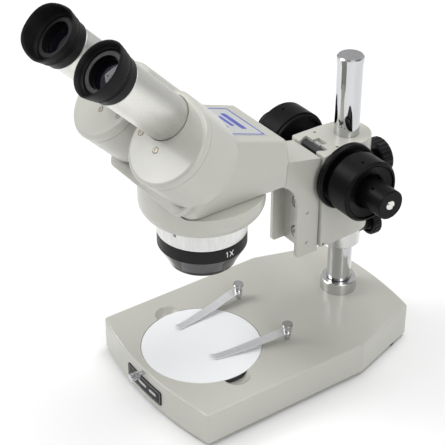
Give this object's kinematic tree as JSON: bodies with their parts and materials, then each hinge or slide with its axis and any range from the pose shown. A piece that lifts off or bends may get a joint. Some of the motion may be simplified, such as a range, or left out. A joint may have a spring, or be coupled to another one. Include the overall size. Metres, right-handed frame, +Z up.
{
  "type": "stereo microscope",
  "caption": "Stereo microscope on a pole stand with inclined eyepiece tubes, objective turret, rack focus and round stage plate with clips.",
  "frame": {"origin": "middle of the bounding box in plan, on the plane that the rubber feet stand on", "axes": "+X to the user's right, +Y away from the user, towards the pole, +Z up"},
  "size_m": [0.1524, 0.289, 0.3289],
  "materials": {
    "paint": "light warm grey enamel, satin",
    "chrome": "polished",
    "steel": "satin",
    "alu": "satin anodised",
    "knurled": "knurled, bright",
    "brass": "plain",
    "blackmetal": "black, semi-gloss",
    "blackplastic": "black, satin",
    "blackgloss": "black, gloss",
    "rubber": "matt black",
    "glass": "coated optical glass",
    "plate": "white face",
    "label": "printed label, no text",
    "badge": "black badge, no text",
    "nickel": "nickel plated",
    "gunmetal": "dark grey, satin"
  },
  "bodies": {
    "stand": {"base_casting": "paint", "rubber_feet": "rubber", "foot_screws": "steel", "badge_plate": "badge", "clip_posts": "chrome", "pole_flange": "chrome", "pole": "chrome", "pole_cap": "chrome", "pole_bolt": "steel"},
    "stage_plate": {"stage_plate": "plate"},
    "lock_screw": {"stage_lock_screw": "chrome"},
    "clip_right": {"clip_leaf_right": "steel"},
    "clip_left": {"clip_leaf_left": "steel"},
    "collar": {"safety_collar": "alu"},
    "collar_knob": {"collar_knob": "blackplastic", "collar_stud": "steel"},
    "focus_block": {"focus_block": "paint", "bearing_hubs": "blackmetal"},
    "clamp_knob": {"clamp_knob": "blackplastic", "clamp_stud": "steel"},
    "tension_ring": {"tension_ring": "blackplastic"},
    "coarse_drive": {"pinion_shaft": "steel", "coarse_knob_left": "blackplastic", "coarse_knob_right": "blackplastic"},
    "fine_drive": {"fine_shaft": "steel", "fine_knob_left": "blackplastic", "fine_knob_right": "blackplastic", "fine_knob_screws": "nickel"},
    "head": {"slide": "gunmetal", "rack": "brass", "arm": "paint", "arm_screws": "nickel", "head_casting": "paint", "front_plate": "paint", "top_label": "label", "objective_bowl": "paint", "head_prisms": "glass"},
    "turret": {"turret_ring": "knurled", "lens_carrier": "blackmetal", "objective_lenses": "glass", "objective_sleeve": "blackmetal", "objective_nose": "blackgloss"},
    "housing_right": {"prism_housing_right": "paint", "housing_cover_right": "paint", "cover_screws_right": "nickel", "prism_right": "glass", "ring_nut_right": "steel", "eyepiece_tube_right": "alu"},
    "eyepiece_right": {"eyepiece_right": "blackplastic", "eyepiece_lenses_right": "glass"},
    "eyecup_right": {"eyecup_right": "rubber"},
    "housing_left": {"prism_housing_left": "paint", "housing_cover_left": "paint", "cover_screws_left": "nickel", "prism_left": "glass", "ring_nut_left": "steel", "eyepiece_tube_left": "alu"},
    "eyepiece_left": {"eyepiece_left": "blackplastic", "eyepiece_lenses_left": "glass"},
    "eyecup_left": {"eyecup_left": "rubber"}
  },
  "joints": [
    {"name": "stage_plate_turn", "type": "hinge", "parent": "stand", "child": "stage_plate", "pos_m": [0, -0.03219, 0.0308], "axis": [0, 0, 1], "continuous": true},
    {"name": "stage_lock_turn", "type": "hinge", "parent": "stand", "child": "lock_screw", "pos_m": [0, -0.09219, 0.0277], "axis": [0, -1, 0], "range_deg": [0, 270]},
    {"name": "clip_right_swing", "type": "hinge", "parent": "stand", "child": "clip_right", "pos_m": [0.0332, 0.02721, 0.039], "axis": [0, 0, 1], "range_deg": [-15, 100]},
    {"name": "clip_left_swing", "type": "hinge", "parent": "stand", "child": "clip_left", "pos_m": [-0.0332, 0.02721, 0.039], "axis": [0, 0, 1], "range_deg": [-100, 15]},
    {"name": "collar_height", "type": "slide", "parent": "stand", "child": "collar", "axis": [0, 0, 1], "range_m": [-0.035, 0.06]},
    {"name": "collar_knob_turn", "type": "hinge", "parent": "collar", "child": "collar_knob", "pos_m": [0, 0.12781, 0.0838], "axis": [0, 1, 0], "range_deg": [0, 270]},
    {"name": "block_swivel", "type": "hinge", "parent": "collar", "child": "focus_block", "pos_m": [0, 0.10611, 0.104], "axis": [0, 0, 1], "range_deg": [-120, 120]},
    {"name": "clamp_knob_turn", "type": "hinge", "parent": "focus_block", "child": "clamp_knob", "pos_m": [0, 0.13281, 0.1445], "axis": [0, 1, 0], "range_deg": [0, 270]},
    {"name": "tension_ring_turn", "type": "hinge", "parent": "focus_block", "child": "tension_ring", "pos_m": [0.024, 0.08731, 0.1561], "axis": [1, 0, 0], "range_deg": [-45, 45]},
    {"name": "focus_travel", "type": "slide", "parent": "focus_block", "child": "head", "axis": [0, 0, 1], "range_m": [-0.02, 0.02]},
    {"name": "coarse_focus_turn", "type": "hinge", "parent": "focus_block", "child": "coarse_drive", "pos_m": [0, 0.08731, 0.1561], "axis": [1, 0, 0], "range_deg": [-191.5, 191.5]},
    {"name": "fine_focus_turn", "type": "hinge", "parent": "coarse_drive", "child": "fine_drive", "pos_m": [0, 0.08731, 0.1561], "axis": [1, 0, 0], "continuous": true},
    {"name": "turret_turn", "type": "hinge", "parent": "head", "child": "turret", "pos_m": [0, -0.03059, 0.149], "axis": [0, 0, 1], "continuous": true},
    {"name": "housing_right_swing", "type": "hinge", "parent": "head", "child": "housing_right", "pos_m": [0.02393, -0.07379, 0.23393], "axis": [0.0649, -0.7024, 0.7088], "range_deg": [-20, 10]},
    {"name": "eyepiece_right_pull", "type": "slide", "parent": "housing_right", "child": "eyepiece_right", "axis": [0.0649, -0.7024, 0.7088], "range_m": [0, 0.025]},
    {"name": "eyecup_right_turn", "type": "hinge", "parent": "eyepiece_right", "child": "eyecup_right", "pos_m": [0.03114, -0.1236, 0.30807], "axis": [0.0649, -0.7024, 0.7088], "continuous": true},
    {"name": "housing_left_swing", "type": "hinge", "parent": "head", "child": "housing_left", "pos_m": [-0.02393, -0.07379, 0.23393], "axis": [-0.0649, -0.7024, 0.7088], "range_deg": [-10, 20]},
    {"name": "eyepiece_left_pull", "type": "slide", "parent": "housing_left", "child": "eyepiece_left", "axis": [-0.0649, -0.7024, 0.7088], "range_m": [0, 0.025]},
    {"name": "eyecup_left_turn", "type": "hinge", "parent": "eyepiece_left", "child": "eyecup_left", "pos_m": [-0.03114, -0.1236, 0.30807], "axis": [-0.0649, -0.7024, 0.7088], "continuous": true}
  ],
  "couplings": [
    {"joint": "coarse_focus_turn", "follows": "focus_travel", "rad_per_m": -166.67}
  ]
}
